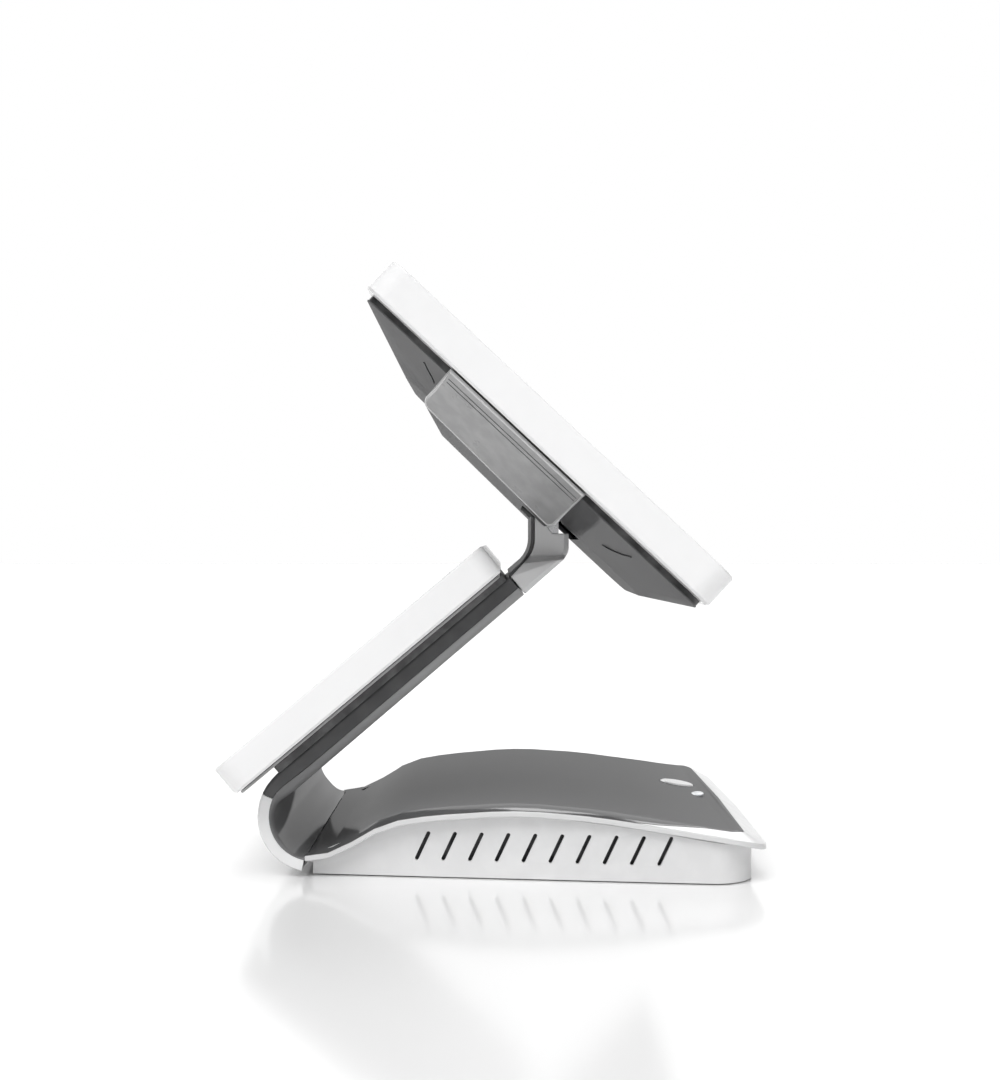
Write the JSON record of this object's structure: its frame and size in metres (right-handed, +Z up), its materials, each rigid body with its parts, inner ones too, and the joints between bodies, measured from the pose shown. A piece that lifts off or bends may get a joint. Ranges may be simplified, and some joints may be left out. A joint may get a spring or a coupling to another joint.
{
  "type": "pos touchscreen terminal",
  "caption": "Dual-screen point of sale terminal: low vented base, bent strap arm carrying a customer display, and an operator touch screen on a tilt hinge.",
  "frame": {"origin": "middle of the footprint, on the surface the terminal stands on", "axes": "+X across the width, to the right of someone facing the customer from the operator side; +Y towards the customer; +Z up"},
  "size_m": [0.376, 0.3083, 0.3379],
  "materials": {
    "white_gloss": "smooth white gloss moulding",
    "light_grey": "light grey satin moulding",
    "grey_gloss": "mid grey gloss moulding",
    "dark_plastic": "dark grey satin moulding",
    "black_glass": "black cover glass over the display",
    "steel": "plated sheet steel",
    "aluminium": "satin aluminium",
    "circuit_board": "green solder mask",
    "black_plastic": "fine textured black",
    "rubber": "matt black",
    "light_lens": "clear light pipe"
  },
  "bodies": {
    "base": {"customer_housing": "white_gloss", "bend_shell": "white_gloss", "base_rim": "white_gloss", "base_tray": "white_gloss", "service_door": "white_gloss", "neck_cover": "light_grey", "customer_rear_panel": "light_grey", "base_top_cover": "grey_gloss", "arm_inner_cover": "grey_gloss", "arm_outer_cover": "dark_plastic", "neck_rear_cover": "dark_plastic", "customer_glass": "black_glass", "arm_spine": "steel", "hinge_block_left": "steel", "hinge_block_right": "steel", "customer_bracket": "steel", "port_bracket": "steel", "cpu_heat_sink": "aluminium", "storage_drive": "aluminium", "mainboard": "circuit_board", "memory_module": "circuit_board", "customer_driver_board": "circuit_board", "speaker": "black_plastic", "power_switch": "black_plastic", "power_inlet": "black_plastic", "lan_jack": "black_plastic", "usb_ports": "black_plastic", "serial_port": "black_plastic", "cash_drawer_port": "black_plastic", "customer_lcd": "black_plastic", "arm_cable": "black_plastic", "foot_rear_left": "rubber", "foot_rear_right": "rubber", "foot_front_left": "rubber", "foot_front_right": "rubber", "status_light": "light_lens"},
    "display": {"main_housing": "white_gloss", "touch_glass": "black_glass", "main_lcd": "black_plastic", "lcd_chassis": "aluminium", "touch_controller_board": "circuit_board", "display_driver_board": "circuit_board", "display_lead": "black_plastic", "main_rear_cover": "dark_plastic", "hinge_housing": "light_grey", "tilt_bracket": "steel", "hinge_pin_left": "steel", "hinge_pin_right": "steel", "hinge_nut_left": "steel", "hinge_nut_right": "steel", "friction_washer_left": "steel", "friction_washer_right": "steel", "belt_screw_lower_left": "steel", "belt_screw_lower_right": "steel", "belt_screw_upper_left": "steel", "belt_screw_upper_right": "steel"},
    "button": {"power_button": "aluminium"}
  },
  "joints": [
    {"name": "display_tilt", "type": "hinge", "parent": "base", "child": "display", "pos_m": [0, -0.0336, 0.2031], "axis": [1, 0, 0], "range_deg": [-28, 20]},
    {"name": "power_button_press", "type": "slide", "parent": "base", "child": "button", "axis": [0, 0.1502, -0.9887], "range_m": [0, 0.001], "stiffness_N_per_m": 800, "springref_m": -0.001}
  ]
}
